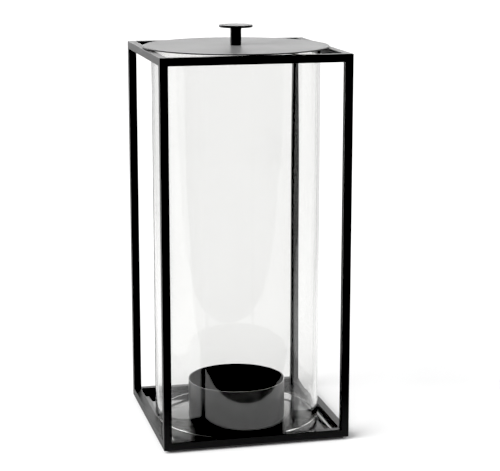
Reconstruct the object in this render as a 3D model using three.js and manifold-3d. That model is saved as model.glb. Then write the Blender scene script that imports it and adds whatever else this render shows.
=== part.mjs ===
// A candle lantern: a square frame of black bars round a clear glass cylinder, with a loose
// round lid on the glass and a low steel cup for the candle on the base.
// Millimetres, +Z up. The origin is the middle of the footprint, on the surface it stands on.
import * as THREE from "three";
import { mergeVertices } from "three/addons/utils/BufferGeometryUtils.js";
import Module from "manifold-3d";

const wasm = await Module();
wasm.setup();

// ---------------------------------------------------------------- driving dimensions

// Frame
const frameWidth = 240; // outside of the bars, left to right
const frameDepth = 240; // outside of the bars, front to back
const frameHeight = 490; // underside of the bottom rails to the top of the top rails
const barSize = 10; // square bars
const barChamfer = 0.5; // coated edges of the bars

// Base
const padDiameter = 20;
const padThickness = 1;
const padEdgeRound = 0.2;
const padInset = 30; // plate's edge to the middle of a pad
const plateThickness = 3;
const plateInset = 5; // how far the plate's edge lies inside the frame's outside
const ledgeHeight = 4; // flat bars along the inside of the bottom rails, which the glass stands on
const glassSeat = 6; // how far the ledge reaches in under the glass

// Glass
const glassClearance = 2; // glass to the nearest rail, on each side
const glassWall = 4; // its rims are rounded over the whole wall
const glassProud = 0.8; // glass above the top rails

// Lid
const lidInset = 1; // lid's edge inside the frame's outside
const lidThickness = 1.5;
const lidEdgeRound = 0.3;
const tabCount = 3; // the first one is at the back
const tabWidth = 14;
const tabDepth = 2.5; // how far each tab reaches down into the glass
const tabThickness = 1.5;
const tabClearance = 1.5; // tab to the inside of the glass

// Knob, held by one screw from below
const stemDiameter = 14;
const stemHeight = 23;
const capDiameter = 43;
const capThickness = 3;
const capRound = 0.6;
const screwDiameter = 5;
const screwGrip = 11; // thread inside the stem
const screwClearance = 0.3; // thread to the hole round it
const boreTip = 1.5; // hole left free past the screw's end
const screwTipChamfer = 0.8;
const headDiameter = 9.5;
const headHeight = 2.8;
const headRound = 2; // rounding of its face into its side
const socketAcrossFlats = 3;
const socketDepth = 1.6;
const washerDiameter = 14;
const washerThickness = 1;
const washerEdgeRound = 0.2;

// Candle cup
const cupDiameter = 128;
const cupHeight = 52;
const cupWall = 1.5;
const cupBendRadius = 2; // outside of the pressed bend between wall and floor

// Facets round each circle, and along the arcs of the profiles
const wideFacets = 96;
const cupFacets = 72;
const smallFacets = 40;
const rimSteps = 6;
const bendSteps = 4;
const edgeSteps = 2;

// ---------------------------------------------------------------- places worked out from them

const plateBottom = padThickness;
const frameBottom = plateBottom + plateThickness;
const frameTop = frameBottom + frameHeight;
const openingWidth = frameWidth - 2 * barSize;
const openingDepth = frameDepth - 2 * barSize;
const glassRadius = Math.min(openingWidth, openingDepth) / 2 - glassClearance;
const glassBottom = frameBottom + ledgeHeight;
const ledgeAcross = openingDepth / 2 - glassRadius + glassSeat; // width of the front and back bars
const ledgeAlong = openingWidth / 2 - glassRadius + glassSeat; // width of the side bars
const glassTop = frameTop + glassProud;
const lidRadius = Math.min(frameWidth, frameDepth) / 2 - lidInset;
const screwRadius = screwDiameter / 2;
const boreRadius = screwRadius + screwClearance;

// ---------------------------------------------------------------- materials

const coat = { roughness: 0.5, metalness: 0.3 };
const frameCoat = new THREE.MeshStandardMaterial({ color: 0x161617, ...coat });
const baseCoat = new THREE.MeshStandardMaterial({ color: 0x1b1b1c, ...coat });
const lidCoat = new THREE.MeshStandardMaterial({ color: 0x1d1d1e, ...coat });
const cupCoat = new THREE.MeshStandardMaterial({ color: 0x202022, ...coat });
const steel = new THREE.MeshStandardMaterial({ color: 0x9a9c9f, roughness: 0.35, metalness: 1 });
const felt = new THREE.MeshStandardMaterial({ color: 0x0d0d0e, roughness: 0.95 });
const clearGlass = new THREE.MeshStandardMaterial({
  color: 0xeef3f3,
  roughness: 0.03,
  transparent: true,
  opacity: 0.2,
});

// ---------------------------------------------------------------- shapes

const point = (r, z) => new THREE.Vector2(r, z);

// Turns a profile of (radius, height) points round +Z. It starts and ends on the axis, or is
// closed with its own first point, and runs with the solid on its left.
function turned(profile, facets) {
  const geometry = new THREE.LatheGeometry(profile, facets);
  geometry.rotateX(Math.PI / 2);
  return geometry;
}

const closed = (profile) => [...profile, profile[0].clone()];

// Points of an arc about (r, z), from one angle to another in degrees, ends included.
function arc(r, z, radius, from, to, steps) {
  return Array.from({ length: steps + 1 }, (_, i) => {
    const angle = THREE.MathUtils.degToRad(from + ((to - from) * i) / steps);
    return point(r + radius * Math.cos(angle), z + radius * Math.sin(angle));
  });
}

// A disc with rounded edges, standing on z = 0, with a round hole where one is given.
function disc(radius, thickness, edge, facets, hole = 0) {
  const outside = [
    ...arc(radius - edge, edge, edge, -90, 0, edgeSteps),
    ...arc(radius - edge, thickness - edge, edge, 0, 90, edgeSteps),
  ];
  if (hole > 0) return turned(closed([point(hole, 0), ...outside, point(hole, thickness)]), facets);
  return turned([point(0, 0), ...outside, point(0, thickness)], facets);
}

// A bar with chamfered long edges, of a section a by c, lying along Z and centred on the origin.
function bar(a, c, length, chamfer) {
  const x = a / 2;
  const y = c / 2;
  const outline = new THREE.Shape([
    point(-x + chamfer, -y),
    point(x - chamfer, -y),
    point(x, -y + chamfer),
    point(x, y - chamfer),
    point(x - chamfer, y),
    point(-x + chamfer, y),
    point(-x, y - chamfer),
    point(-x, -y + chamfer),
  ]);
  const geometry = new THREE.ExtrudeGeometry(outline, { depth: length, bevelEnabled: false });
  geometry.translate(0, 0, -length / 2);
  return geometry;
}

// ---------------------------------------------------------------- solids for a boolean cut

function solidOf(geometry) {
  const bare = geometry.clone();
  bare.deleteAttribute("normal");
  bare.deleteAttribute("uv");
  const merged = mergeVertices(bare, 1e-4);
  return new wasm.Manifold(
    new wasm.Mesh({
      numProp: 3,
      vertProperties: new Float32Array(merged.attributes.position.array),
      triVerts: new Uint32Array(merged.index.array),
    }),
  );
}

function geometryOf(solid) {
  const { vertProperties, triVerts } = solid.getMesh();
  const geometry = new THREE.BufferGeometry();
  geometry.setAttribute("position", new THREE.BufferAttribute(vertProperties, 3));
  geometry.setIndex(new THREE.BufferAttribute(triVerts, 1));
  geometry.computeVertexNormals();
  return geometry;
}

const cut = (body, tool) => geometryOf(solidOf(body).subtract(solidOf(tool)));

// ---------------------------------------------------------------- the assembly

const lantern = new THREE.Group();

function add(parent, name, geometry, material, x = 0, y = 0, z = 0) {
  const mesh = new THREE.Mesh(geometry, material);
  mesh.name = name;
  mesh.position.set(x, y, z);
  parent.add(mesh);
  return mesh;
}

// The frame: four posts over its whole height, and four rails between them at each end.
function makeFrame() {
  const frame = new THREE.Group();
  frame.position.z = frameBottom;
  lantern.add(frame);
  const postX = (frameWidth - barSize) / 2;
  const postY = (frameDepth - barSize) / 2;
  const sides = { left: -1, right: 1 };
  const ends = { front: -1, back: 1 };
  for (const [endName, end] of Object.entries(ends))
    for (const [sideName, side] of Object.entries(sides))
      add(
        frame,
        `post_${endName}_${sideName}`,
        bar(barSize, barSize, frameHeight, barChamfer),
        frameCoat,
        side * postX,
        end * postY,
        frameHeight / 2,
      );
  const levels = { bottom: barSize / 2, top: frameHeight - barSize / 2 };
  for (const [levelName, z] of Object.entries(levels)) {
    for (const [endName, end] of Object.entries(ends)) {
      const across = bar(barSize, barSize, openingWidth, barChamfer);
      across.rotateY(Math.PI / 2);
      add(frame, `${levelName}_rail_${endName}`, across, frameCoat, 0, end * postY, z);
    }
    for (const [sideName, side] of Object.entries(sides)) {
      const along = bar(barSize, barSize, openingDepth, barChamfer);
      along.rotateX(Math.PI / 2);
      add(frame, `${levelName}_rail_${sideName}`, along, frameCoat, side * postX, 0, z);
    }
  }
}

// The base: a thin plate under the rails, felt pads under it, and a ledge of flat bars on it.
function makeBase() {
  const base = new THREE.Group();
  lantern.add(base);
  const plateWidth = frameWidth - 2 * plateInset;
  const plateDepth = frameDepth - 2 * plateInset;
  const plate = new THREE.BoxGeometry(plateWidth, plateDepth, plateThickness);
  add(base, "base_plate", plate, baseCoat, 0, 0, plateBottom + plateThickness / 2);

  const padX = plateWidth / 2 - padInset;
  const padY = plateDepth / 2 - padInset;
  [
    [-padX, -padY],
    [padX, -padY],
    [padX, padY],
    [-padX, padY],
  ].forEach(([x, y], i) => {
    const pad = disc(padDiameter / 2, padThickness, padEdgeRound, smallFacets);
    add(base, `felt_pad_${i + 1}`, pad, felt, x, y, 0);
  });

  const ledgeZ = frameBottom + ledgeHeight / 2;
  const ledgeX = (openingWidth - ledgeAlong) / 2;
  const ledgeY = (openingDepth - ledgeAcross) / 2;
  const sideLength = openingDepth - 2 * ledgeAcross;
  for (const [name, end] of [["front", -1], ["back", 1]]) {
    const strip = new THREE.BoxGeometry(openingWidth, ledgeAcross, ledgeHeight);
    add(base, `glass_ledge_${name}`, strip, baseCoat, 0, end * ledgeY, ledgeZ);
  }
  for (const [name, side] of [["left", -1], ["right", 1]]) {
    const strip = new THREE.BoxGeometry(ledgeAlong, sideLength, ledgeHeight);
    add(base, `glass_ledge_${name}`, strip, baseCoat, side * ledgeX, 0, ledgeZ);
  }
}

// The glass: an open tube that stands on the ledge, with fire-rounded rims.
function makeGlass() {
  const height = glassTop - glassBottom;
  const half = glassWall / 2;
  const middle = glassRadius - half;
  const wall = closed([
    ...arc(middle, half, half, -180, 0, rimSteps),
    ...arc(middle, height - half, half, 0, 180, rimSteps),
  ]);
  add(lantern, "glass_cylinder", turned(wall, wideFacets), clearGlass, 0, 0, glassBottom);
}

// The lid: a flat disc that lies on the glass, with tabs below that keep it in the middle.
function makeLid() {
  const lid = new THREE.Group();
  lid.position.z = glassTop;
  lantern.add(lid);
  const plate = disc(lidRadius, lidThickness, lidEdgeRound, wideFacets, boreRadius);
  add(lid, "lid_disc", plate, lidCoat);

  const tabOutside = glassRadius - glassWall - tabClearance;
  for (let i = 0; i < tabCount; i++) {
    const turn = new THREE.Group();
    turn.rotation.z = Math.PI / 2 + (i * 2 * Math.PI) / tabCount;
    lid.add(turn);
    const tab = new THREE.BoxGeometry(tabThickness, tabWidth, tabDepth);
    const x = tabOutside - tabThickness / 2;
    add(turn, `lid_tab_${i + 1}`, tab, lidCoat, x, 0, -tabDepth / 2);
  }

  makeKnob(lid);
}

// The knob: a stem with a threaded hole, a thin cap on it, and the screw that holds both.
function makeKnob(lid) {
  const knob = new THREE.Group();
  knob.position.z = lidThickness;
  lid.add(knob);
  const stemRadius = stemDiameter / 2;
  const boreDepth = screwGrip + boreTip;
  const stem = turned(
    [
      point(0, boreDepth),
      point(boreRadius, boreDepth),
      point(boreRadius, 0),
      point(stemRadius, 0),
      point(stemRadius, stemHeight),
      point(0, stemHeight),
    ],
    smallFacets,
  );
  add(knob, "knob_stem", stem, lidCoat);
  const cap = disc(capDiameter / 2, capThickness, capRound, wideFacets);
  add(knob, "knob_cap", cap, lidCoat, 0, 0, stemHeight);

  const washerRadius = washerDiameter / 2;
  const washer = disc(washerRadius, washerThickness, washerEdgeRound, smallFacets, boreRadius);
  add(lid, "knob_washer", washer, steel, 0, 0, -washerThickness);

  // The screw stands on z = 0 with its head down: head, then thread.
  const headRadius = headDiameter / 2;
  const threadEnd = headHeight + washerThickness + lidThickness + screwGrip;
  const blank = turned(
    [
      point(0, 0),
      ...arc(headRadius - headRound, headRound, headRound, -90, 0, bendSteps),
      point(headRadius, headHeight),
      point(screwRadius, headHeight),
      point(screwRadius, threadEnd - screwTipChamfer),
      point(screwRadius - screwTipChamfer, threadEnd),
      point(0, threadEnd),
    ],
    smallFacets,
  );
  const socketRadius = socketAcrossFlats / Math.sqrt(3);
  const socket = new THREE.CylinderGeometry(socketRadius, socketRadius, 2 * socketDepth, 6);
  socket.rotateX(Math.PI / 2);
  const screwZ = -washerThickness - headHeight;
  add(lid, "knob_screw", cut(blank, socket), steel, 0, 0, screwZ);
}

// The candle cup: pressed from one sheet, standing loose on the base plate.
function makeCup() {
  const radius = cupDiameter / 2;
  const inner = radius - cupWall;
  const innerBend = cupBendRadius - cupWall / 2;
  const lip = cupWall / 2;
  const profile = [
    point(0, 0),
    ...arc(radius - cupBendRadius, cupBendRadius, cupBendRadius, -90, 0, bendSteps),
    ...arc(radius - lip, cupHeight - lip, lip, 0, 180, bendSteps),
    ...arc(inner - innerBend, cupWall + innerBend, innerBend, 0, -90, bendSteps),
    point(0, cupWall),
  ];
  add(lantern, "candle_cup", turned(profile, cupFacets), cupCoat, 0, 0, frameBottom);
}

makeFrame();
makeBase();
makeGlass();
makeLid();
makeCup();

export default lantern;
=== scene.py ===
"""Candle lantern: the coated frame, clear glass, lid, knob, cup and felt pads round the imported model."""

import math

import bmesh
import bpy
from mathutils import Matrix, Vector


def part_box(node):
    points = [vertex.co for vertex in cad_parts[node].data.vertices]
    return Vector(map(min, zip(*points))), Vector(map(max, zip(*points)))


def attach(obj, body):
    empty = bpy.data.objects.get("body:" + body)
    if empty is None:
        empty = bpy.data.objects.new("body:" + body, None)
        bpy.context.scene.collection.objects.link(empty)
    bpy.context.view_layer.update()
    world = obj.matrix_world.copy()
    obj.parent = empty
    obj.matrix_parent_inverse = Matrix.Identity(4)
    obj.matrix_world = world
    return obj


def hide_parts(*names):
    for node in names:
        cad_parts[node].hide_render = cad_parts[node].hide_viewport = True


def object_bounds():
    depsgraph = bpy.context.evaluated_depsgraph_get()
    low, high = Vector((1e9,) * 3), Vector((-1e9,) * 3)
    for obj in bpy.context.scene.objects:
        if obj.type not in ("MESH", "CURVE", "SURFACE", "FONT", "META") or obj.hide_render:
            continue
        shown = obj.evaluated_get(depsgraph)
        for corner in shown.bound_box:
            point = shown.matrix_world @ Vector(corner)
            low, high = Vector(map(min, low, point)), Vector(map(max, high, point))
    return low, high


bl_info = {
    "name": "Candle Lantern",
    "version": (1, 0, 0),
    "blender": (4, 5, 0),
    "location": "3D View > Sidebar > Lantern",
    "description": "Builds a square candle lantern with a glass cylinder, a lid and a candle cup",
    "category": "Object",
}

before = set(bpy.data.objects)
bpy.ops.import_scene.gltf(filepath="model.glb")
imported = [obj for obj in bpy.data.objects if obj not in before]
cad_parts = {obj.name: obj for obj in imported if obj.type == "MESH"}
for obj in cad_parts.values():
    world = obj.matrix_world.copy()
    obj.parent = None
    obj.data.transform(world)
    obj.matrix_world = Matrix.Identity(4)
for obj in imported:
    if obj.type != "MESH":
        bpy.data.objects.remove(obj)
CAD_LOW, CAD_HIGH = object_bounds()
MM = 0.001

SIDES = ("left", "right")
ENDS = ("front", "back")
POSTS = [f"post_{end}_{side}" for end in ENDS for side in SIDES]
RAILS = [f"{level}_rail_{name}" for level in ("bottom", "top") for name in ENDS + SIDES]
LEDGES = [f"glass_ledge_{name}" for name in ENDS + SIDES]
PADS = [f"felt_pad_{i + 1}" for i in range(4)]
TABS = [f"lid_tab_{i + 1}" for i in range(3)]


def size_of(node):
    """Width, depth and height of a CAD node at rest."""
    low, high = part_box(node)
    return high - low


# ---------------------------------------------------------------- what a user would change


def length(name, description, default, **more):
    """A size in metres, shown in the scene's units."""
    return bpy.props.FloatProperty(
        name=name,
        description=description,
        default=default,
        min=0.0,
        unit="LENGTH",
        precision=5,
        **more,
    )


def share(name, description, default, most=1.0):
    return bpy.props.FloatProperty(name=name, description=description, default=default, min=0.0, max=most)


def tone(name, description, default):
    return bpy.props.FloatVectorProperty(
        name=name,
        description=description,
        default=default,
        subtype="COLOR",
        size=3,
        min=0.0,
        max=1.0,
    )


def angle(name, description, degrees):
    return bpy.props.FloatProperty(
        name=name,
        description=description,
        default=math.radians(degrees),
        subtype="ANGLE",
    )


class LanternSizes(bpy.types.PropertyGroup):
    """Sizes that the frame's boxes don't give."""

    bar_edge: length("Bar edge", "Rounding of the bars after coating", 0.5 * MM)
    plate_corner: length("Plate corner", "Rounding of the base plate's corners", 2 * MM)
    plate_edge: length("Plate edge", "Rounding of the base plate's edges", 0.25 * MM)
    glass_wall: length("Glass wall", "Thickness of the glass", 4 * MM)
    glass_ripple: length("Glass ripple", "Depth of the streaks in the drawn glass", 0.1 * MM)
    lid_edge: length("Lid edge", "Rounding of the lid's cut edge", 0.35 * MM)
    tab_edge: length("Tab edge", "Rounding of the tabs below the lid", 0.3 * MM)
    cap_edge: length("Cap edge", "Rounding of the knob cap's edge", 0.8 * MM)
    stem_edge: length("Stem edge", "Rounding at both ends of the knob's stem", 0.3 * MM)
    cup_wall: length("Cup wall", "Thickness of the cup's sheet", 1.5 * MM)
    cup_bend: length("Cup bend", "Outside radius between the cup's wall and floor", 2 * MM)
    cup_lip: length("Cup lip", "Rounding of the cup's top edge, inside and outside", 0.35 * MM)
    pad_fuzz: length("Pad fuzz", "Unevenness of the cut felt", 0.25 * MM)
    screw_radius: length("Screw radius", "Radius of the screw's thread", 2.5 * MM)
    thread_pitch: length("Thread pitch", "Distance between the screw's threads", 0.8 * MM)
    thread_depth: length("Thread depth", "Height of the screw's thread", 0.45 * MM)
    head_round: length("Head round", "Rounding of the screw head's face into its side", 2 * MM)
    socket_flats: length("Socket flats", "Width of the hexagon socket over its flats", 3 * MM)
    socket_depth: length("Socket depth", "Depth of the hexagon socket", 1.6 * MM)
    bore_tip: length("Bore tip", "Hole left free past the screw's end", 1.5 * MM)
    washer_edge: length("Washer edge", "Rounding of the washer's outer edge", 0.2 * MM)
    hole_clearance: length("Hole clearance", "Screw to the hole round it", 0.3 * MM)
    facets: bpy.props.IntProperty(
        name="Facets",
        description="Facets round the wide round pieces",
        default=256,
        min=32,
    )


class LanternColours(bpy.types.PropertyGroup):
    """Colours of the finishes."""

    frame_coat: tone("Frame coat", "Coat on the bars", (0.0015, 0.0015, 0.0016))
    base_coat: tone("Base coat", "Coat on the plate and the ledge", (0.002, 0.002, 0.0021))
    lid_coat: tone("Lid coat", "Coat on the lid and its knob", (0.002, 0.002, 0.0021))
    cup_coat: tone("Cup coat", "Coat on the candle cup", (0.002, 0.002, 0.0021))
    glass: tone("Glass", "Tint of the clear glass", (0.908, 0.908, 0.902))
    felt: tone("Felt", "Wool of the pads", (0.012, 0.012, 0.013))
    zinc: tone("Zinc", "Plating of the screw and washer", (0.62, 0.63, 0.65))


class LanternStage(bpy.types.PropertyGroup):
    """The studio round the lantern."""

    azimuth: angle("Camera azimuth", "How far the camera stands round to the left", 13.39)
    elevation: angle("Camera elevation", "How far the camera looks down", 12.11)
    distance: bpy.props.FloatProperty(
        name="Camera distance",
        description="Distance to the aim point, in lantern heights",
        default=3.9545,
    )
    aim_height: share("Aim height", "Height of the aim point, in lantern heights", 0.47425)
    aim_side: share("Aim side", "Aim point right of the middle, in lantern widths", 0.0773)
    lens: bpy.props.FloatProperty(name="Lens", description="Focal length in millimetres", default=113.7)
    backdrop: share("Backdrop", "Brightness of the backdrop as seen", 1.05, most=5.0)
    fill: share("Fill light", "Brightness of the light from all round", 0.64, most=5.0)
    gleam: share("Gleam", "Brightness of the backdrop in reflections", 5.0, most=20.0)
    gleam_top: angle("Gleam top", "Elevation where the lit backdrop ends", 17.5)
    gleam_above: share("Gleam above", "What is left of the gleam above that elevation", 0.0)
    key_strength: share("Key strength", "Strength of the light on the left", 3.9, most=20.0)
    key_width: angle("Key width", "How wide the light on the left looks", 55.0)
    black_point: share("Black point", "Brightness below which the picture is black", 0.012, most=0.1)
    floor_front: length("Floor front", "How far the mirrored floor reaches in front", 150 * MM)
    floor_side: length("Floor side", "Where the mirrored floor has half faded sideways", 550 * MM)


# ---------------------------------------------------------------- node helpers


class Nodes:
    """Adds nodes to a tree and links them in one line each."""

    def __init__(self, tree):
        self.tree = tree

    def add(self, kind, inputs=None, **settings):
        node = self.tree.nodes.new(kind)
        for key, value in settings.items():
            setattr(node, key, value)
        for key, value in (inputs or {}).items():
            self.put(value, node.inputs[key])
        return node

    def put(self, value, socket):
        """Links an output to the socket, or sets the socket's own value."""
        if isinstance(value, bpy.types.NodeSocket):
            self.tree.links.new(value, socket)
        else:
            socket.default_value = value

    def math(self, operation, first, second=0.0, third=0.0, clamp=False):
        node = self.add("ShaderNodeMath", operation=operation, use_clamp=clamp)
        for socket, value in zip(node.inputs, (first, second, third)):
            self.put(value, socket)
        return node.outputs[0]

    def smooth(self, value, low, high, to_low=0.0, to_high=1.0):
        """A soft step from to_low to to_high as the value goes from low to high."""
        node = self.add(
            "ShaderNodeMapRange",
            {"Value": value, "From Min": low, "From Max": high, "To Min": to_low, "To Max": to_high},
            interpolation_type="SMOOTHSTEP",
        )
        return node.outputs["Result"]

    def noise(self, vector, scale, detail=2.0, roughness=0.5):
        node = self.add(
            "ShaderNodeTexNoise",
            {"Vector": vector, "Scale": scale, "Detail": detail, "Roughness": roughness},
        )
        return node.outputs["Fac"]


SOCKETS = {
    float: "NodeSocketFloat",
    int: "NodeSocketInt",
    tuple: "NodeSocketVector",
}


def new_group(name, kind, inputs, outputs):
    """A node group with named inputs, given as defaults, and named outputs, given as socket types."""
    tree = bpy.data.node_groups.new(name, kind)
    for label, default in inputs.items():
        if isinstance(default, str):
            tree.interface.new_socket(label, in_out="INPUT", socket_type=default)
            continue
        socket = tree.interface.new_socket(label, in_out="INPUT", socket_type=SOCKETS[type(default)])
        socket.default_value = default
    for label, socket_type in outputs.items():
        tree.interface.new_socket(label, in_out="OUTPUT", socket_type=socket_type)
    nodes = Nodes(tree)
    return nodes, nodes.add("NodeGroupInput").outputs, nodes.add("NodeGroupOutput").inputs


# ---------------------------------------------------------------- shared surface effects

DUST_COLOUR = (0.11, 0.108, 0.105, 1.0)
GRAIN_HEIGHT = 0.004 * MM
WIPED, RUBBED, DUSTED = -0.02, -0.1, 0.15  # what each adds to the coat's roughness
BLOOM_ROUGHNESS = 0.5
LACQUER_ROUGHNESS = 0.06
GLASS_INDEX = 1.5
STREAKS_PER_METRE = 110.0
STREAK_SHRINK = 0.03  # along the tube, so that a streak is about thirty times as long as it is wide
FELT_HEIGHT = 0.25 * MM
RING_HEIGHT = 0.005 * MM

# How each powder coat came out. Bloom is the pale cast seen at a low angle, lacquer a smooth top layer.
COATS = {
    "frame": {"roughness": 0.46, "index": 1.32},
    "base": {"roughness": 0.42, "index": 1.5, "dust": 0.03, "lacquer": 0.8},
    "lid": {"roughness": 0.48, "index": 1.3, "bloom": 0.24},
    "cup": {"roughness": 0.3, "index": 1.5},
}


def coat_grain_group():
    """Powder coat: a soft orange peel with a finer grain on it, and slow changes over the piece."""
    nodes, given, out = new_group(
        "coat_grain",
        "ShaderNodeTree",
        {"Vector": (0.0, 0.0, 0.0), "Peel": 520.0, "Grain": 2600.0, "Grain share": 0.3},
        {"Height": "NodeSocketFloat", "Drift": "NodeSocketFloat"},
    )
    peel = nodes.noise(given["Vector"], given["Peel"], detail=1.5, roughness=0.4)
    grain = nodes.noise(given["Vector"], given["Grain"], detail=2.0, roughness=0.6)
    fine = nodes.math("MULTIPLY", grain, given["Grain share"])
    nodes.put(nodes.math("ADD", peel, fine), out["Height"])
    nodes.put(nodes.noise(given["Vector"], scale=14.0, detail=3.0, roughness=0.55), out["Drift"])
    return nodes.tree


def settled_dust_group():
    """A thin scatter of dust on what faces up."""
    nodes, given, out = new_group(
        "settled_dust",
        "ShaderNodeTree",
        {"Vector": (0.0, 0.0, 0.0), "Amount": 0.3, "Specks": 900.0},
        {"Mask": "NodeSocketFloat"},
    )
    normal = nodes.add("ShaderNodeNewGeometry").outputs["Normal"]
    up = nodes.add("ShaderNodeSeparateXYZ", {"Vector": normal}).outputs["Z"]
    facing = nodes.smooth(up, 0.7, 0.98)
    patches = nodes.smooth(nodes.noise(given["Vector"], scale=22.0, detail=4.0, roughness=0.6), 0.4, 0.75)
    specks = nodes.smooth(nodes.noise(given["Vector"], given["Specks"], detail=1.0, roughness=0.5), 0.6, 0.72)
    scatter = nodes.math("MULTIPLY_ADD", specks, 0.6, patches)
    lying = nodes.math("MULTIPLY", scatter, facing)
    nodes.put(nodes.math("MULTIPLY", lying, given["Amount"], clamp=True), out["Mask"])
    return nodes.tree


def rubbed_edge_group():
    """Where handling has polished the coat on an edge: patchy, and only where the mesh says edge."""
    nodes, given, out = new_group(
        "rubbed_edge",
        "ShaderNodeTree",
        {"Vector": (0.0, 0.0, 0.0), "Amount": 0.5},
        {"Mask": "NodeSocketFloat"},
    )
    edge = nodes.add("ShaderNodeAttribute", attribute_name="edge").outputs["Fac"]
    patches = nodes.smooth(nodes.noise(given["Vector"], scale=60.0, detail=4.0, roughness=0.65), 0.42, 0.7)
    rubbed = nodes.math("MULTIPLY", edge, patches)
    nodes.put(nodes.math("MULTIPLY", rubbed, given["Amount"], clamp=True), out["Mask"])
    return nodes.tree


def handling_group():
    """Faint smears that hands and wiping leave on a hard surface."""
    nodes, given, out = new_group(
        "handling",
        "ShaderNodeTree",
        {"Vector": (0.0, 0.0, 0.0), "Size": 18.0, "Amount": 0.5},
        {"Mask": "NodeSocketFloat"},
    )
    warp = nodes.add(
        "ShaderNodeTexNoise", {"Vector": given["Vector"], "Scale": given["Size"], "Detail": 2.0}
    ).outputs["Color"]
    bent = nodes.add(
        "ShaderNodeVectorMath",
        {0: warp, 1: (0.05, 0.05, 0.02), 2: given["Vector"]},
        operation="MULTIPLY_ADD",
    ).outputs[0]
    smears = nodes.smooth(nodes.noise(bent, given["Size"], detail=5.0, roughness=0.65), 0.48, 0.7)
    nodes.put(nodes.math("MULTIPLY", smears, given["Amount"], clamp=True), out["Mask"])
    return nodes.tree


def shared_group(name):
    makers = {
        "coat_grain": coat_grain_group,
        "settled_dust": settled_dust_group,
        "rubbed_edge": rubbed_edge_group,
        "handling": handling_group,
    }
    return bpy.data.node_groups.get(name) or makers[name]()


class Surface(Nodes):
    """A material with a Principled BSDF, built node by node."""

    def __init__(self, name):
        self.material = bpy.data.materials.new(name)
        self.material.use_nodes = True
        super().__init__(self.material.node_tree)
        self.shader = self.tree.nodes["Principled BSDF"]
        self.place = self.add("ShaderNodeTexCoord").outputs["Object"]

    def effect(self, name, **values):
        """A shared effect placed in this material, with its own values."""
        node = self.add("ShaderNodeGroup", node_tree=shared_group(name))
        self.put(self.place, node.inputs["Vector"])
        for label, value in values.items():
            self.put(value, node.inputs[label.replace("_", " ")])
        return node.outputs

    def mix(self, factor, first, second):
        node = self.add("ShaderNodeMix", data_type="RGBA")
        self.put(factor, node.inputs["Factor"])
        self.put(first, node.inputs[6])
        self.put(second, node.inputs[7])
        return node.outputs[2]

    def bump(self, height, distance, strength=1.0):
        bump = self.add("ShaderNodeBump", {"Height": height, "Distance": distance, "Strength": strength})
        self.put(bump.outputs["Normal"], self.shader.inputs["Normal"])

    def set(self, **values):
        for label, value in values.items():
            self.put(value, self.shader.inputs[label.replace("_", " ")])
        return self


def opaque(colour, lift=1.0):
    return tuple(min(1.0, c * lift) for c in colour) + (1.0,)


def coated_steel(name, colour, roughness, index, dust=0.06, bloom=0.0, lacquer=0.0):
    """Black powder coat: rough grain in the gloss, rubbed edges and a little dust."""
    if name in bpy.data.materials:
        return bpy.data.materials[name]
    s = Surface(name)
    grain = s.effect("coat_grain")
    dusty = s.effect("settled_dust", Amount=dust)["Mask"]
    rubbed = s.effect("rubbed_edge", Amount=0.5)["Mask"]
    handled = s.effect("handling", Amount=0.4)["Mask"]
    coat = s.mix(grain["Drift"], opaque(colour, 0.75), opaque(colour, 1.3))
    coat = s.mix(rubbed, coat, opaque(colour, 3.5))
    coat = s.mix(dusty, coat, DUST_COLOUR)
    # the gloss drifts over the piece; wiping and rubbing polish it, and dust dulls it
    drift = s.smooth(grain["Drift"], 0.3, 0.7, roughness * 0.96, roughness * 1.04)
    wiped = s.math("MULTIPLY_ADD", handled, WIPED, drift)
    worn = s.math("MULTIPLY_ADD", rubbed, RUBBED, wiped)
    final = s.math("MULTIPLY_ADD", dusty, DUSTED, worn, clamp=True)
    s.bump(grain["Height"], GRAIN_HEIGHT)
    s.set(Base_Color=coat, Roughness=final)
    s.shader.inputs["IOR"].default_value = index
    s.shader.inputs["Sheen Weight"].default_value = bloom
    s.shader.inputs["Sheen Roughness"].default_value = BLOOM_ROUGHNESS
    s.shader.inputs["Coat Weight"].default_value = lacquer
    s.shader.inputs["Coat Roughness"].default_value = LACQUER_ROUGHNESS
    return s.material


def clear_glass(colour, streak):
    """Clear soda-lime glass with the faint upright streaks that drawing leaves."""
    s = Surface("drawn_glass")
    handled = s.effect("handling", Size=9.0, Amount=1.0)["Mask"]
    squashed = s.add("ShaderNodeMapping", {"Vector": s.place, "Scale": (1.0, 1.0, STREAK_SHRINK)}).outputs[0]
    streaks = s.noise(squashed, STREAKS_PER_METRE, detail=0.0)
    s.set(Base_Color=s.mix(handled, opaque(colour), opaque(colour, 0.985)))
    s.bump(streaks, streak)
    s.shader.inputs["Roughness"].default_value = 0.0
    s.shader.inputs["Metallic"].default_value = 0.0
    s.shader.inputs["Transmission Weight"].default_value = 1.0
    s.shader.inputs["IOR"].default_value = GLASS_INDEX
    return s.material


def wool_felt(colour):
    """Pressed felt: tangled fibres, soft and matt."""
    s = Surface("wool_felt")
    fibres = s.noise(s.place, scale=5200.0, detail=5.0, roughness=0.75)
    clumps = s.noise(s.place, scale=700.0, detail=3.0, roughness=0.6)
    height = s.math("MULTIPLY_ADD", fibres, 0.5, clumps)
    tint = s.smooth(height, 0.4, 1.1)
    s.set(Base_Color=s.mix(tint, opaque(colour, 0.5), opaque(colour, 2.2)))
    s.bump(height, FELT_HEIGHT)
    s.set(Roughness=s.smooth(clumps, 0.3, 0.7, 0.85, 1.0))
    s.shader.inputs["Sheen Weight"].default_value = 0.35
    s.shader.inputs["Sheen Roughness"].default_value = 0.6
    s.shader.inputs["Specular IOR Level"].default_value = 0.2
    return s.material


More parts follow.
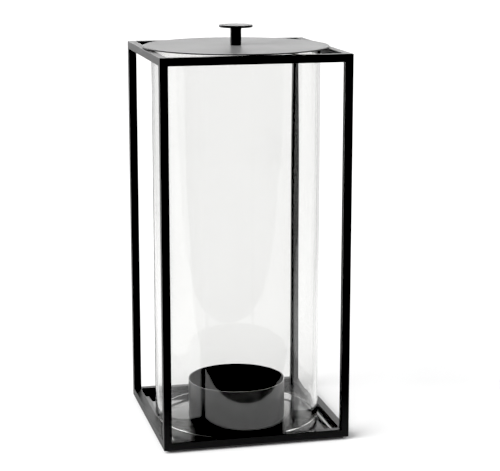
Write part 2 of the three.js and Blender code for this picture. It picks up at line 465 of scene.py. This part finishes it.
def zinc_plate(colour):
    """Bright zinc on turned steel: fine rings round the axis and a cloudy tone."""
    if "zinc_plate" in bpy.data.materials:
        return bpy.data.materials["zinc_plate"]
    s = Surface("zinc_plate")
    split = s.add("ShaderNodeSeparateXYZ", {"Vector": s.place}).outputs
    y_squared = s.math("POWER", split["Y"], 2.0)
    across = s.math("SQRT", s.math("MULTIPLY_ADD", split["X"], split["X"], y_squared))
    rings = s.noise(s.add("ShaderNodeCombineXYZ", {"X": across}).outputs[0], scale=9000.0)
    cloud = s.noise(s.place, scale=350.0, detail=4.0, roughness=0.6)
    s.set(
        Base_Color=s.mix(cloud, opaque(colour, 0.75), opaque(colour, 1.1)),
        Roughness=s.smooth(cloud, 0.3, 0.7, 0.26, 0.42),
    )
    s.shader.inputs["Metallic"].default_value = 1.0
    s.bump(rings, RING_HEIGHT)
    return s.material


# ---------------------------------------------------------------- meshes


def new_object(name, mesh):
    made = bpy.data.objects.new(name, mesh)
    bpy.context.scene.collection.objects.link(made)
    return made


def arc(radius, height, reach, start, end, steps):
    """Points of an arc in a profile, about (radius, height), from one angle to another in degrees."""
    angles = [math.radians(start + (end - start) * i / steps) for i in range(steps + 1)]
    return [(radius + reach * math.cos(a), height + reach * math.sin(a)) for a in angles]


def wire(name, profile, closed):
    """A profile of (radius, height) points as a line in the XZ plane."""
    mesh = bpy.data.meshes.new(name)
    count = len(profile)
    edges = [(i, i + 1) for i in range(count - 1)] + ([(count - 1, 0)] if closed else [])
    mesh.from_pydata([(r, 0.0, z) for r, z in profile], edges, [])
    return new_object(name, mesh)


def geometry_group(name, inputs):
    """A Geometry Nodes tree with a Geometry input, named inputs and a Geometry output."""
    nodes, given, out = new_group(
        name,
        "GeometryNodeTree",
        {"Geometry": "NodeSocketGeometry", **inputs, "Material": "NodeSocketMaterial"},
        {"Geometry": "NodeSocketGeometry"},
    )

    def end(geometry):
        real = nodes.add("GeometryNodeRealizeInstances", {"Geometry": geometry})
        smooth = nodes.add("GeometryNodeSetShadeSmooth", {"Geometry": real.outputs[0]})
        final = nodes.add(
            "GeometryNodeSetMaterial",
            {"Geometry": smooth.outputs[0], "Material": given["Material"]},
        )
        nodes.put(final.outputs[0], out["Geometry"])
        return nodes.tree

    return nodes, given, end


def turning_tree():
    """Turns the object's own profile line round the upright axis."""
    if "turned" in bpy.data.node_groups:
        return bpy.data.node_groups["turned"]
    nodes, given, end = geometry_group("turned", {"Facets": 64, "Path Radius": 1.0, "Merge": 1e-6})
    line = nodes.add("GeometryNodeMeshToCurve", {"Mesh": given["Geometry"]}).outputs[0]
    back = nodes.math("MULTIPLY", given["Path Radius"], -1.0)
    shift = nodes.add("ShaderNodeCombineXYZ", {"X": back}).outputs[0]
    section = nodes.add(
        "GeometryNodeTransform",
        {"Geometry": line, "Translation": shift, "Rotation": (math.radians(90), 0.0, 0.0)},
    ).outputs[0]
    path = nodes.add(
        "GeometryNodeCurvePrimitiveCircle",
        {"Resolution": given["Facets"], "Radius": given["Path Radius"]},
    ).outputs[0]
    shell = nodes.add("GeometryNodeCurveToMesh", {"Curve": path, "Profile Curve": section}).outputs[0]
    merged = nodes.add("GeometryNodeMergeByDistance", {"Geometry": shell, "Distance": given["Merge"]})
    return end(merged.outputs[0])


def ring_tree():
    """Copies the object's own mesh evenly round the upright axis, each turned to face out."""
    nodes, given, end = geometry_group("ring_of_copies", {"Count": 4, "Radius": 0.1, "First Turn": 0.0})
    place = nodes.add("GeometryNodeMeshCircle", {"Vertices": given["Count"], "Radius": given["Radius"]})
    index = nodes.add("GeometryNodeInputIndex").outputs[0]
    step = nodes.math("DIVIDE", 2 * math.pi, given["Count"])
    turn = nodes.math("MULTIPLY", index, step)
    spin = nodes.add("ShaderNodeCombineXYZ", {"Z": turn}).outputs[0]
    copies = nodes.add(
        "GeometryNodeInstanceOnPoints",
        {"Points": place.outputs[0], "Instance": given["Geometry"], "Rotation": spin},
    ).outputs[0]
    first = nodes.add("ShaderNodeCombineXYZ", {"Z": given["First Turn"]}).outputs[0]
    turned = nodes.add("GeometryNodeTransform", {"Geometry": copies, "Rotation": first})
    return end(turned.outputs[0])


def felt_tree():
    """Four discs of felt at the corners of a rectangle, with a fuzzy cut edge."""
    nodes, given, end = geometry_group(
        "felt_discs",
        {"Radius": 0.01, "Thickness": 0.001, "Across": 0.1, "Along": 0.1, "Fuzz": 0.0002, "Seed": 3.0},
    )
    disc = nodes.add(
        "GeometryNodeMeshCylinder",
        {
            "Vertices": 96,
            "Side Segments": 4,
            "Fill Segments": 10,
            "Radius": given["Radius"],
            "Depth": given["Thickness"],
        },
    ).outputs[0]
    corners = nodes.add(
        "GeometryNodeMeshGrid",
        {"Size X": given["Across"], "Size Y": given["Along"], "Vertices X": 2, "Vertices Y": 2},
    ).outputs[0]
    copies = nodes.add("GeometryNodeInstanceOnPoints", {"Points": corners, "Instance": disc}).outputs[0]
    real = nodes.add("GeometryNodeRealizeInstances", {"Geometry": copies}).outputs[0]
    place = nodes.add("GeometryNodeInputPosition").outputs[0]
    fibres = nodes.add(
        "ShaderNodeTexNoise",
        {"Vector": place, "W": given["Seed"], "Scale": 1500.0, "Detail": 3.0},
        noise_dimensions="4D",
    ).outputs["Color"]
    centred = nodes.add("ShaderNodeVectorMath", {0: fibres, 1: (0.5, 0.5, 0.5)}, operation="SUBTRACT")
    sideways = {0: centred.outputs[0], 1: (1.0, 1.0, 0.0)}
    flat = nodes.add("ShaderNodeVectorMath", sideways, operation="MULTIPLY")
    push = nodes.add("ShaderNodeVectorMath", {0: flat.outputs[0]}, operation="SCALE")
    nodes.put(given["Fuzz"], push.inputs["Scale"])
    fuzzy = nodes.add("GeometryNodeSetPosition", {"Geometry": real, "Offset": push.outputs[0]})
    lift = nodes.add("ShaderNodeCombineXYZ", {"Z": nodes.math("MULTIPLY", given["Thickness"], 0.5)})
    raised = nodes.add(
        "GeometryNodeTransform",
        {"Geometry": fuzzy.outputs[0], "Translation": lift.outputs[0]},
    )
    return end(raised.outputs[0])


def run_tree(host, tree, **values):
    """Runs a Geometry Nodes tree on the host, whose mesh becomes the result with its faces turned out."""
    modifier = host.modifiers.new("shape", "NODES")
    modifier.node_group = tree
    names = {item.name: item.identifier for item in tree.interface.items_tree if item.in_out == "INPUT"}
    for label, value in values.items():
        modifier[names[label.replace("_", " ")]] = value
    use_up_modifiers(host)
    shell = bmesh.new()
    shell.from_mesh(host.data)
    bmesh.ops.recalc_face_normals(shell, faces=shell.faces)
    shell.to_mesh(host.data)
    shell.free()


def use_up_modifiers(host):
    """Puts an object's evaluated mesh in place of its own, and clears its modifiers."""
    view = bpy.context.evaluated_depsgraph_get()
    view.update()
    mesh = bpy.data.meshes.new_from_object(host.evaluated_get(view))
    host.modifiers.clear()
    old = host.data
    host.data = mesh
    bpy.data.meshes.remove(old)


def even_normals(host):
    """Keeps wide faces flat and lets only the roundings between them turn."""
    for face in host.data.polygons:
        face.use_smooth = True
    modifier = host.modifiers.new("even", "WEIGHTED_NORMAL")
    modifier.weight = 100
    modifier.keep_sharp = True
    use_up_modifiers(host)


def finish_piece(host, material, body, nodes):
    """Gives a piece its material, the body it moves with and the CAD nodes it stands for."""
    host.data.materials.clear()
    host.data.materials.append(material)
    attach(host, body)
    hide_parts(*nodes)


def rounded_rim(low, high, edge, steps):
    """The outer side of a turned disc in profile, from its lower face to its upper one."""
    below = arc(high.x - edge, low.z + edge, edge, -90, 0, steps)
    return below + arc(high.x - edge, high.z - edge, edge, 0, 90, steps)


def turned_piece(name, profile, material, facets, closed=False):
    """A profile turned round the upright axis; a closed one is a ring, an open one starts and ends on it."""
    host = wire(name, profile, closed)
    run_tree(host, turning_tree(), Facets=facets, Material=material)
    even_normals(host)
    return host


def lattice(lines, filled=lambda *cell: True):
    """A closed shell round the filled cells of a grid, whose lines are given along X, Y and Z."""
    counts = [len(axis) - 1 for axis in lines]
    cells = {
        (i, j, k)
        for i in range(counts[0])
        for j in range(counts[1])
        for k in range(counts[2])
        if filled(i, j, k)
    }
    shell = bmesh.new()
    corners = {}

    def corner(key):
        if key not in corners:
            corners[key] = shell.verts.new([lines[axis][key[axis]] for axis in range(3)])
        return corners[key]

    for cell in sorted(cells):
        for axis in range(3):
            for side in (0, 1):
                beside = list(cell)
                beside[axis] += 2 * side - 1
                if tuple(beside) in cells:
                    continue
                first, second = (axis + 1) % 3, (axis + 2) % 3
                face = []
                for a, b in ((0, 0), (1, 0), (1, 1), (0, 1)):
                    key = list(cell)
                    key[axis] += side
                    key[first] += a
                    key[second] += b
                    face.append(corner(tuple(key)))
                shell.faces.new(face if side else face[::-1])
    return shell


def bevel(shell, edges, radius, steps, clamp):
    return bmesh.ops.bevel(
        shell,
        geom=edges,
        offset=radius,
        offset_type="OFFSET",
        segments=steps,
        profile=0.5,
        affect="EDGES",
        clamp_overlap=clamp,
    )


def object_from(shell, name):
    """Turns a shell's faces out and makes it an object."""
    bmesh.ops.recalc_face_normals(shell, faces=shell.faces)
    mesh = bpy.data.meshes.new(name)
    shell.to_mesh(mesh)
    shell.free()
    return new_object(name, mesh)


def soften(name, shell, radius, steps=3):
    """Rounds the sharp edges of a shell, marks the rounding in the attribute edge, and makes the object."""
    bmesh.ops.dissolve_limit(
        shell,
        angle_limit=math.radians(1),
        verts=shell.verts,
        edges=shell.edges,
    )
    mark = shell.faces.layers.float.new("edge")
    sharp = [e for e in shell.edges if e.calc_face_angle(0.0) > math.radians(30)]
    for face in bevel(shell, sharp, radius, steps, clamp=True)["faces"]:
        face[mark] = 1.0
    host = object_from(shell, name)
    even_normals(host)
    return host


# ---------------------------------------------------------------- pieces


class Make(bpy.types.Operator):
    """Gives each operator of the lantern its settings and what several pieces share"""

    bl_options = {"REGISTER", "UNDO"}

    @property
    def sizes(self):
        return bpy.context.scene.lantern_sizes

    @property
    def colours(self):
        return bpy.context.scene.lantern_colours

    @property
    def stage(self):
        return bpy.context.scene.lantern_stage

    @property
    def screw_hole(self):
        """Radius of the hole round the knob's screw, in the lid, the stem and the washer."""
        return self.sizes.screw_radius + self.sizes.hole_clearance

    def coat(self, part):
        """The powder coat of the frame, the base, the lid or the cup."""
        return coated_steel(f"{part}_powder_coat", getattr(self.colours, f"{part}_coat"), **COATS[part])


class LANTERN_OT_frame(Make):
    """Weld the frame: twelve square bars, ground flush at the corners and coated"""

    bl_idname = "lantern.frame"
    bl_label = "Frame"

    def execute(self, context):
        low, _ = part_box("post_front_left")
        _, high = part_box("post_back_right")
        bar = size_of("post_front_left").x
        lines = [[low[a], low[a] + bar, high[a] - bar, high[a]] for a in range(3)]
        # a cell is part of a bar where it is in the middle along one axis at most
        shell = lattice(lines, lambda *cell: cell.count(1) <= 1)
        host = soften("frame_welded", shell, self.sizes.bar_edge)
        finish_piece(host, self.coat("frame"), "frame", POSTS + RAILS)
        return {"FINISHED"}


class LANTERN_OT_base(Make):
    """Make the base: the plate, the ledge that the glass stands on, and the felt pads"""

    bl_idname = "lantern.base"
    bl_label = "Base"

    def execute(self, context):
        coat = self.coat("base")
        self.make_plate(coat)
        self.make_ledge(coat)
        self.make_pads()
        return {"FINISHED"}

    def make_plate(self, coat):
        low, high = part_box("base_plate")
        shell = lattice([[low[a], high[a]] for a in range(3)])
        upright = [e for e in shell.edges if abs(e.verts[0].co.z - e.verts[1].co.z) > MM]
        bevel(shell, upright, self.sizes.plate_corner, 6, clamp=False)
        host = soften("base_plate_cut", shell, self.sizes.plate_edge, 2)
        finish_piece(host, coat, "frame", ["base_plate"])

    def make_ledge(self, coat):
        low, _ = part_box("glass_ledge_front")
        _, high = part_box("glass_ledge_back")
        across = size_of("glass_ledge_front").y
        along = size_of("glass_ledge_left").x
        lines = [
            [low.x, low.x + along, high.x - along, high.x],
            [low.y, low.y + across, high.y - across, high.y],
            [low.z, high.z],
        ]
        shell = lattice(lines, lambda i, j, k: not (i == 1 and j == 1))
        host = soften("glass_ledge_ring", shell, self.sizes.bar_edge, 2)
        finish_piece(host, coat, "frame", LEDGES)

    def make_pads(self):
        felt = wool_felt(self.colours.felt)
        low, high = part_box(PADS[0])
        middle = (low + high) / 2
        host = new_object("felt_pads", bpy.data.meshes.new("felt_pads"))
        fuzz = self.sizes.pad_fuzz
        run_tree(
            host,
            felt_tree(),
            Radius=(high.x - low.x) / 2 - fuzz,
            Thickness=high.z - low.z,
            Across=2 * abs(middle.x),
            Along=2 * abs(middle.y),
            Fuzz=fuzz,
            Material=felt,
        )
        even_normals(host)
        finish_piece(host, felt, "frame", PADS)


class LANTERN_OT_glass(Make):
    """Make the glass: a drawn tube whose two rims are rounded in the flame"""

    bl_idname = "lantern.glass"
    bl_label = "Glass"

    def execute(self, context):
        low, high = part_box("glass_cylinder")
        half = self.sizes.glass_wall / 2
        middle = high.x - half
        profile = arc(middle, low.z + half, half, 180, 360, 12)
        profile += arc(middle, high.z - half, half, 0, 180, 12)
        glass = clear_glass(self.colours.glass, self.sizes.glass_ripple)
        host = turned_piece("glass_tube", profile, glass, self.sizes.facets, closed=True)
        finish_piece(host, glass, "glass", ["glass_cylinder"])
        host.visible_shadow = False  # light falls through it
        return {"FINISHED"}


class LANTERN_OT_lid(Make):
    """Make the lid: a flat disc, and the tabs under it that keep it in the middle of the glass"""

    bl_idname = "lantern.lid"
    bl_label = "Lid"

    def execute(self, context):
        coat = self.coat("lid")
        low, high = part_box("lid_disc")
        hole = self.screw_hole
        profile = [(hole, low.z), *rounded_rim(low, high, self.sizes.lid_edge, 4), (hole, high.z)]
        host = turned_piece("lid_plate", profile, coat, self.sizes.facets, closed=True)
        finish_piece(host, coat, "lid", ["lid_disc"])
        self.make_tabs(coat)
        return {"FINISHED"}

    def make_tabs(self, coat):
        """One tab is made facing +X and copied round, the first to the back."""
        low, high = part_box(TABS[0])
        lines = [[low.y - high.y, 0.0], [low.x, high.x], [low.z, high.z]]
        host = soften("lid_tabs", lattice(lines), self.sizes.tab_edge, 2)
        run_tree(
            host,
            ring_tree(),
            Count=len(TABS),
            Radius=high.y,
            First_Turn=math.radians(90),
            Material=coat,
        )
        even_normals(host)
        finish_piece(host, coat, "lid", TABS)


class LANTERN_OT_knob(Make):
    """Make the knob: the turned stem, its thin cap, and the screw and washer below the lid"""

    bl_idname = "lantern.knob"
    bl_label = "Knob"

    def execute(self, context):
        coat = self.coat("lid")
        zinc = zinc_plate(self.colours.zinc)
        facets = self.sizes.facets // 2
        self.make_stem(coat, facets)
        self.make_cap(coat)
        self.make_washer(zinc, facets)
        self.make_screw(zinc)
        return {"FINISHED"}

    def make_stem(self, coat, facets):
        low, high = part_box("knob_stem")
        edge = self.sizes.stem_edge
        bore = self.screw_hole
        bore_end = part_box("knob_screw")[1].z + self.sizes.bore_tip
        profile = [(0, bore_end), (bore, bore_end), (bore, low.z + edge), (bore + edge, low.z)]
        profile += [*rounded_rim(low, high, edge, 3), (0, high.z)]
        host = turned_piece("knob_stem_turned", profile, coat, facets)
        finish_piece(host, coat, "lid", ["knob_stem"])

    def make_cap(self, coat):
        low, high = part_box("knob_cap")
        profile = [(0, low.z), *rounded_rim(low, high, self.sizes.cap_edge, 5), (0, high.z)]
        host = turned_piece("knob_cap_turned", profile, coat, self.sizes.facets)
        finish_piece(host, coat, "lid", ["knob_cap"])

    def make_washer(self, zinc, facets):
        low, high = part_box("knob_washer")
        hole = self.screw_hole
        profile = [(hole, low.z), *rounded_rim(low, high, self.sizes.washer_edge, 3), (hole, high.z)]
        host = turned_piece("knob_washer_pressed", profile, zinc, facets, closed=True)
        finish_piece(host, zinc, "lid", ["knob_washer"])

    def make_screw(self, zinc):
        """A button head with a hexagon socket, facing down, and a shank whose thread winds up it."""
        low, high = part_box("knob_screw")
        sizes = self.sizes
        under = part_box("knob_washer")[0].z
        bend = sizes.head_round
        corner = sizes.socket_flats / math.sqrt(3)
        root = sizes.screw_radius - sizes.thread_depth
        pitch = sizes.thread_pitch
        floor = low.z + sizes.socket_depth
        head = arc(high.x - bend, low.z + bend, bend, -90, 0, 6)
        head += [(high.x, under), (sizes.screw_radius, under)]
        around, rings_per_turn = 48, 8
        steps = int((high.z - under) / pitch * rings_per_turn)
        climb = [under + (high.z - under) * i / steps for i in range(1, steps)]

        def hexagon(turn):
            return corner * math.cos(math.pi / 6) / math.cos(turn % (math.pi / 3) - math.pi / 6)

        def thread(turn, z):
            phase = ((z - under) / pitch - turn / (2 * math.pi)) % 1.0
            return root + sizes.thread_depth * (1 - abs(2 * phase - 1))

        shell = bmesh.new()
        turns = [2 * math.pi * i / around for i in range(around)]

        def ring(reach, z):
            return [shell.verts.new((reach(t) * math.cos(t), reach(t) * math.sin(t), z)) for t in turns]

        rings = [ring(hexagon, floor), ring(hexagon, low.z)]
        rings += [ring(lambda t: radius, z) for radius, z in head]
        rings += [ring(lambda t: thread(t, z), z) for z in climb]
        rings += [ring(lambda t: root - sizes.thread_depth, high.z)]
        for below, above in zip(rings, rings[1:]):
            for i in range(around):
                j = (i + 1) % around
                shell.faces.new((below[i], below[j], above[j], above[i]))
        shell.faces.new(rings[0])
        shell.faces.new(rings[-1])
        host = object_from(shell, "knob_screw_threaded")
        finish_piece(host, zinc, "lid", ["knob_screw"])


class LANTERN_OT_cup(Make):
    """Press the candle cup from one sheet, with a soft bend at its foot and a rounded lip"""

    bl_idname = "lantern.cup"
    bl_label = "Candle cup"

    def execute(self, context):
        coat = self.coat("cup")
        low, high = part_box("candle_cup")
        wall = self.sizes.cup_wall
        bend = self.sizes.cup_bend
        inner = high.x - wall
        inner_bend = bend - wall / 2
        lip = self.sizes.cup_lip
        profile = [(0, low.z)]
        profile += arc(high.x - bend, low.z + bend, bend, -90, 0, 6)
        profile += arc(high.x - lip, high.z - lip, lip, 0, 90, 4)
        profile += arc(inner + lip, high.z - lip, lip, 90, 180, 4)
        profile += arc(inner - inner_bend, low.z + wall + inner_bend, inner_bend, 0, -90, 5)
        profile += [(0, low.z + wall)]
        host = turned_piece("candle_cup_pressed", profile, coat, self.sizes.facets)
        finish_piece(host, coat, "cup", ["candle_cup"])
        return {"FINISHED"}


# ---------------------------------------------------------------- the studio

FLOOR_REACH = 12.0  # metres to each side, past all that the camera sees
FLOOR_EDGE = 4 * MM  # how softly the mirrored floor ends in front
FLOOR_SIDE_LOSS = 0.3  # share of the mirrored floor that is gone far to the sides
BACKDROP_SIDES = (0.6, 0.9)  # from the edge of the lit backdrop to where it is full, 1.0 being straight back
KEY_PLACE = Vector((-1.6, -0.6, 1.2))  # the key light shines from here towards the lantern's foot
GLEAM_FADE = (-0.01, 0.03)  # where the backdrop's upper edge starts to fade and is gone, from its height
BLACK = (0.0, 0.0, 0.0, 1.0)
WHITE = (1.0, 1.0, 1.0, 1.0)
PAPER_TONES = (0.9, 0.9, 0.9, 1.0), (0.93, 0.93, 0.93, 1.0)


class LANTERN_OT_stage(Make):
    """Set up the studio: pale floor, bright backdrop, dark side behind the camera, key light and camera"""

    bl_idname = "lantern.stage"
    bl_label = "Stage"

    def execute(self, context):
        self.make_floor()
        self.make_world(context.scene)
        self.make_key_light()
        self.make_camera(context.scene)
        return {"FINISHED"}

    def make_floor(self):
        mesh = bpy.data.meshes.new("floor")
        corners = ((-1, -1), (1, -1), (1, 1), (-1, 1))
        places = [(x * FLOOR_REACH, y * FLOOR_REACH, CAD_LOW.z) for x, y in corners]
        mesh.from_pydata(places, [], [(0, 1, 2, 3)])
        mesh.materials.append(self.floor_paper())
        new_object("floor", mesh)

    def floor_paper(self):
        """White paper; what mirrors it sees it only as far as the lit part reaches in front."""
        s = Surface("floor_paper")
        fibre = s.noise(s.place, scale=900.0, detail=3.0)
        paper = s.mix(fibre, *PAPER_TONES)
        front = CAD_LOW.y - self.stage.floor_front
        spot = s.add("ShaderNodeSeparateXYZ", {"Vector": s.place}).outputs
        ahead = s.smooth(spot["Y"], front - FLOOR_EDGE, front + FLOOR_EDGE, to_low=1.0, to_high=0.0)
        side = self.stage.floor_side
        off_middle = s.math("ABSOLUTE", spot["X"])
        aside = s.smooth(off_middle, side * 0.5, side * 1.5, to_high=FLOOR_SIDE_LOSS)
        unlit = s.math("MAXIMUM", ahead, aside)
        path = s.add("ShaderNodeLightPath").outputs
        mirrored = s.math("LESS_THAN", path["Diffuse Depth"], s.math("MINIMUM", path["Glossy Depth"], 1.0))
        hidden = s.math("MULTIPLY", unlit, mirrored)
        s.set(
            Base_Color=s.mix(hidden, paper, BLACK),
            Roughness=s.smooth(fibre, 0.3, 0.7, 0.9, 1.0),
        )
        s.shader.inputs["Specular IOR Level"].default_value = 0.0
        return s.material

    def make_world(self, scene):
        """White as seen and through the glass, even light all round, and in reflections a lit backdrop."""
        world = bpy.data.worlds.new("studio")
        world.use_nodes = True
        world.cycles.sampling_method = "NONE"  # so that each ray sees the world by its own path
        scene.world = world
        world.node_tree.nodes.clear()
        n = Nodes(world.node_tree)
        path = n.add("ShaderNodeLightPath").outputs
        heading = n.add("ShaderNodeTexCoord").outputs["Generated"]
        split = n.add("ShaderNodeSeparateXYZ", {"Vector": heading}).outputs
        top = math.sin(self.stage.gleam_top)
        behind = n.smooth(split["Y"], *BACKDROP_SIDES)
        fade_from, fade_to = (top + step for step in GLEAM_FADE)
        low_band = n.smooth(split["Z"], fade_from, fade_to, to_low=1.0, to_high=self.stage.gleam_above)
        lit = n.math("MULTIPLY", behind, low_band)
        shown = n.math("MULTIPLY", lit, self.stage.gleam)
        mirrored = n.math("MINIMUM", path["Glossy Depth"], 1.0)
        scattered = n.math("MINIMUM", path["Diffuse Depth"], 1.0)
        backdrop = n.add("ShaderNodeBackground", {"Strength": self.stage.backdrop})
        fill = n.add("ShaderNodeBackground", {"Strength": self.stage.fill})
        gleam = n.add("ShaderNodeBackground", {"Strength": shown})
        for light in (backdrop, fill, gleam):
            light.inputs["Color"].default_value = WHITE
        clear = n.add("ShaderNodeMixShader", {0: mirrored, 1: backdrop.outputs[0], 2: gleam.outputs[0]})
        mixed = n.add("ShaderNodeMixShader", {0: scattered, 1: clear.outputs[0], 2: fill.outputs[0]})
        n.add("ShaderNodeOutputWorld", {"Surface": mixed.outputs[0]})

    def make_key_light(self):
        """A wide soft light high on the left, which leaves the faint shadow on the right."""
        light = bpy.data.lights.new("key", "SUN")
        light.energy = self.stage.key_strength
        light.angle = self.stage.key_width
        key = bpy.data.objects.new("key", light)
        bpy.context.scene.collection.objects.link(key)
        key.location = KEY_PLACE
        key.rotation_euler = (-KEY_PLACE).to_track_quat("-Z", "Y").to_euler()
        key.visible_glossy = False
        key.visible_transmission = False

    def make_camera(self, scene):
        stage = self.stage
        size = CAD_HIGH - CAD_LOW
        aim = Vector((stage.aim_side * size.x, 0.0, stage.aim_height * size.z))
        away = Vector(
            (
                -math.sin(stage.azimuth) * math.cos(stage.elevation),
                -math.cos(stage.azimuth) * math.cos(stage.elevation),
                math.sin(stage.elevation),
            )
        )
        camera = bpy.data.objects.new("camera", bpy.data.cameras.new("camera"))
        scene.collection.objects.link(camera)
        camera.location = aim + away * stage.distance * size.z
        camera.rotation_euler = (-away).to_track_quat("-Z", "Y").to_euler()
        camera.data.lens = stage.lens
        camera.data.sensor_width = 36.0
        camera.data.clip_start = 0.01
        camera.data.clip_end = 100.0
        scene.camera = camera
        view = scene.view_settings
        view.view_transform = "Standard"
        view.use_curve_mapping = True
        view.curve_mapping.black_level = [stage.black_point] * 3
        view.curve_mapping.update()


# ---------------------------------------------------------------- panel and registration


class LANTERN_PT_panel(bpy.types.Panel):
    """Lists the lantern's pieces and settings"""

    bl_label = "Candle Lantern"
    bl_idname = "LANTERN_PT_panel"
    bl_space_type = "VIEW_3D"
    bl_region_type = "UI"
    bl_category = "Lantern"

    def draw(self, context):
        for operator in OPERATORS:
            self.layout.operator(operator.bl_idname)
        for group, _ in SETTINGS:
            settings = getattr(context.scene, group)
            box = self.layout.box()
            for name in settings.bl_rna.properties.keys():
                if name not in ("rna_type", "name"):
                    box.prop(settings, name)


OPERATORS = (
    LANTERN_OT_frame,
    LANTERN_OT_base,
    LANTERN_OT_glass,
    LANTERN_OT_lid,
    LANTERN_OT_knob,
    LANTERN_OT_cup,
    LANTERN_OT_stage,
)
SETTINGS = (
    ("lantern_sizes", LanternSizes),
    ("lantern_colours", LanternColours),
    ("lantern_stage", LanternStage),
)


def register():
    for name, group in SETTINGS:
        bpy.utils.register_class(group)
        setattr(bpy.types.Scene, name, bpy.props.PointerProperty(type=group))
    for operator in OPERATORS:
        bpy.utils.register_class(operator)
    bpy.utils.register_class(LANTERN_PT_panel)


def unregister():
    bpy.utils.unregister_class(LANTERN_PT_panel)
    for operator in reversed(OPERATORS):
        bpy.utils.unregister_class(operator)
    for name, group in reversed(SETTINGS):
        delattr(bpy.types.Scene, name)
        bpy.utils.unregister_class(group)


def main():
    register()
    for operator in OPERATORS:
        family, name = operator.bl_idname.split(".")
        getattr(getattr(bpy.ops, family), name)()


if __name__ == "__main__":
    main()
